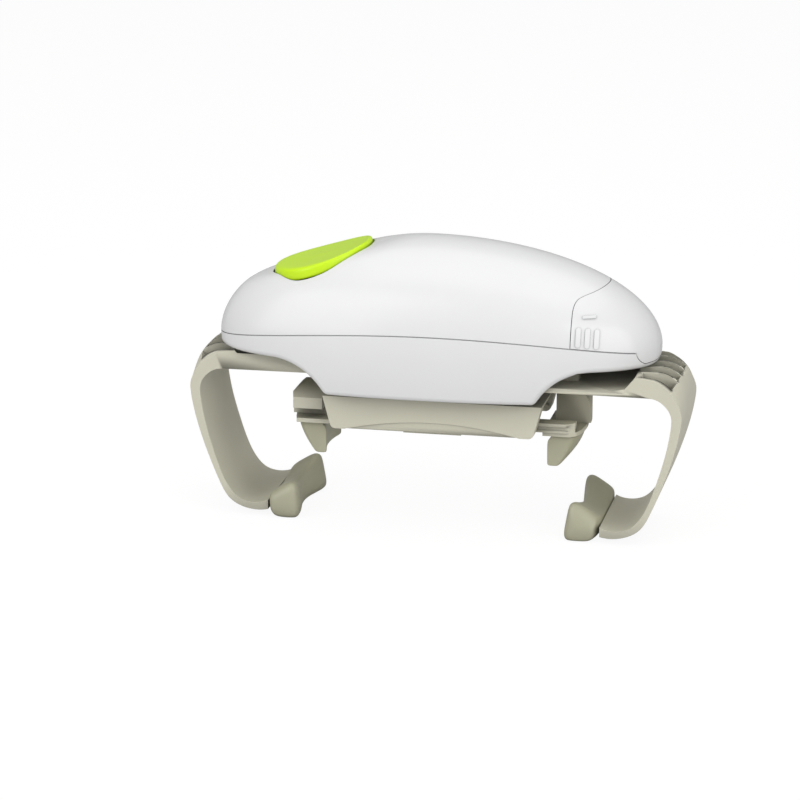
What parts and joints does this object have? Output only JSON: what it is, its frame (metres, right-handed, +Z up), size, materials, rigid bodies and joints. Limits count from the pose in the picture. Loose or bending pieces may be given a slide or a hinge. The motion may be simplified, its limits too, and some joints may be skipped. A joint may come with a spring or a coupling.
{
  "type": "electric jar opener",
  "caption": "Battery-driven jar opener: egg-shaped white shell with a green press button, curved sliding arms that hold the jar and a turning carriage whose jaws grip the lid.",
  "frame": {"origin": "on the surface that the opener rests on, under the axis that its jaw carriage turns about", "axes": "+X towards the battery door at the nose, +Y towards the back of the view that shows the button at the left, +Z up"},
  "size_m": [0.215, 0.075, 0.1238],
  "materials": {
    "white_shell": "polished white moulding",
    "green_button": "polished lime green",
    "grey_plastic": "satin warm grey",
    "soft_pad": "satin soft elastomer",
    "gear_plastic": "natural acetal",
    "inner_plastic": "black moulding",
    "steel": "bright steel",
    "brass": "machined",
    "magnet": "dull ferrite",
    "copper": "enamelled winding and core",
    "battery_jacket": "plain printed jacket, no text",
    "board": "green solder mask"
  },
  "bodies": {
    "housing": {"lower_shell": "white_shell", "upper_shell": "white_shell", "turret_bush": "gear_plastic", "gear_base": "inner_plastic", "gear_top": "inner_plastic", "gear_axles": "steel", "motor_can": "steel", "motor_magnets": "magnet", "motor_end_cap": "inner_plastic", "battery_cradle": "inner_plastic", "batteries": "battery_jacket", "contact_plates": "steel", "contact_spring": "steel", "switch_bracket": "inner_plastic", "circuit_board": "board", "microswitch": "inner_plastic", "shell_screws": "steel", "base_screws": "steel", "motor_screws": "steel", "bracket_screws": "steel"},
    "button": {"button_cap": "green_button", "button_spring": "steel"},
    "battery_door": {"battery_door": "white_shell", "door_contact": "steel", "door_spring": "steel"},
    "outer_arm_right": {"outer_arm_right": "grey_plastic", "outer_pad_right": "soft_pad"},
    "outer_arm_left": {"outer_arm_left": "grey_plastic", "outer_pad_left": "soft_pad"},
    "outer_pinion": {"outer_pinion": "gear_plastic", "slip_washer": "steel"},
    "carriage": {"carriage_frame": "grey_plastic", "carriage_cover": "grey_plastic", "turret_retainer": "gear_plastic", "cover_screws": "steel", "retainer_screws": "steel"},
    "inner_jaw_right": {"inner_jaw_right": "grey_plastic", "jaw_pad_right": "soft_pad"},
    "inner_jaw_left": {"inner_jaw_left": "grey_plastic", "jaw_pad_left": "soft_pad"},
    "spindle": {"drive_spindle": "steel", "inner_pinion": "gear_plastic", "clutch_disc": "steel", "clutch_spring": "steel", "spindle_clip": "steel"},
    "main_gear": {"main_gear": "gear_plastic"},
    "gear_two": {"gear_two": "gear_plastic"},
    "gear_one": {"gear_one": "gear_plastic"},
    "motor_rotor": {"motor_pinion": "brass", "motor_shaft": "steel", "motor_armature": "copper"}
  },
  "joints": [
    {"name": "button_press", "type": "slide", "parent": "housing", "child": "button", "axis": [0, 0, -1], "range_m": [0, 0.0015], "stiffness_N_per_m": 800, "springref_m": -0.0025, "deforming": ["button_spring"]},
    {"name": "battery_door_slide", "type": "slide", "parent": "housing", "child": "battery_door", "axis": [1, 0, 0], "range_m": [0, 0.038]},
    {"name": "outer_arms_close", "type": "slide", "parent": "housing", "child": "outer_arm_right", "axis": [1, 0, 0], "range_m": [-0.033, 0]},
    {"name": "outer_arm_left_slide", "type": "slide", "parent": "housing", "child": "outer_arm_left", "axis": [-1, 0, 0], "range_m": [-0.0331, 0.0001]},
    {"name": "outer_pinion_spin", "type": "hinge", "parent": "housing", "child": "outer_pinion", "pos_m": [0, 0, 0.07], "axis": [0, 0, 1], "range_deg": [-212, 2]},
    {"name": "carriage_turn", "type": "hinge", "parent": "housing", "child": "carriage", "pos_m": [0, 0, 0.06], "axis": [0, 0, 1], "continuous": true},
    {"name": "lid_jaws_close", "type": "slide", "parent": "carriage", "child": "inner_jaw_right", "axis": [1, 0, 0], "range_m": [-0.032, 0]},
    {"name": "lid_jaw_left_slide", "type": "slide", "parent": "carriage", "child": "inner_jaw_left", "axis": [-1, 0, 0], "range_m": [-0.0321, 0.0001]},
    {"name": "spindle_spin", "type": "hinge", "parent": "carriage", "child": "spindle", "pos_m": [0, 0, 0.047], "axis": [0, 0, 1], "range_deg": [-185, 2]},
    {"name": "main_gear_spin", "type": "hinge", "parent": "housing", "child": "main_gear", "pos_m": [0, 0, 0.077], "axis": [0, 0, 1], "continuous": true},
    {"name": "gear_two_spin", "type": "hinge", "parent": "housing", "child": "gear_two", "pos_m": [-0.024, -0.01442, 0.078], "axis": [0, 0, 1], "continuous": true},
    {"name": "gear_one_spin", "type": "hinge", "parent": "housing", "child": "gear_one", "pos_m": [-0.02733, 0.00449, 0.082], "axis": [0, 0, 1], "continuous": true},
    {"name": "motor_spin", "type": "hinge", "parent": "housing", "child": "motor_rotor", "pos_m": [-0.01233, 0.00449, 0.09], "axis": [0, 0, 1], "continuous": true}
  ],
  "couplings": [
    {"joint": "outer_arm_left_slide", "follows": "outer_arms_close", "ratio": 1},
    {"joint": "outer_pinion_spin", "follows": "outer_arms_close", "rad_per_m": 111.11},
    {"joint": "lid_jaw_left_slide", "follows": "lid_jaws_close", "ratio": 1},
    {"joint": "spindle_spin", "follows": "lid_jaws_close", "rad_per_m": 100},
    {"joint": "main_gear_spin", "follows": "carriage_turn", "ratio": 1},
    {"joint": "gear_two_spin", "follows": "carriage_turn", "ratio": -3.6667},
    {"joint": "gear_one_spin", "follows": "carriage_turn", "ratio": 11},
    {"joint": "motor_spin", "follows": "carriage_turn", "ratio": -44}
  ]
}
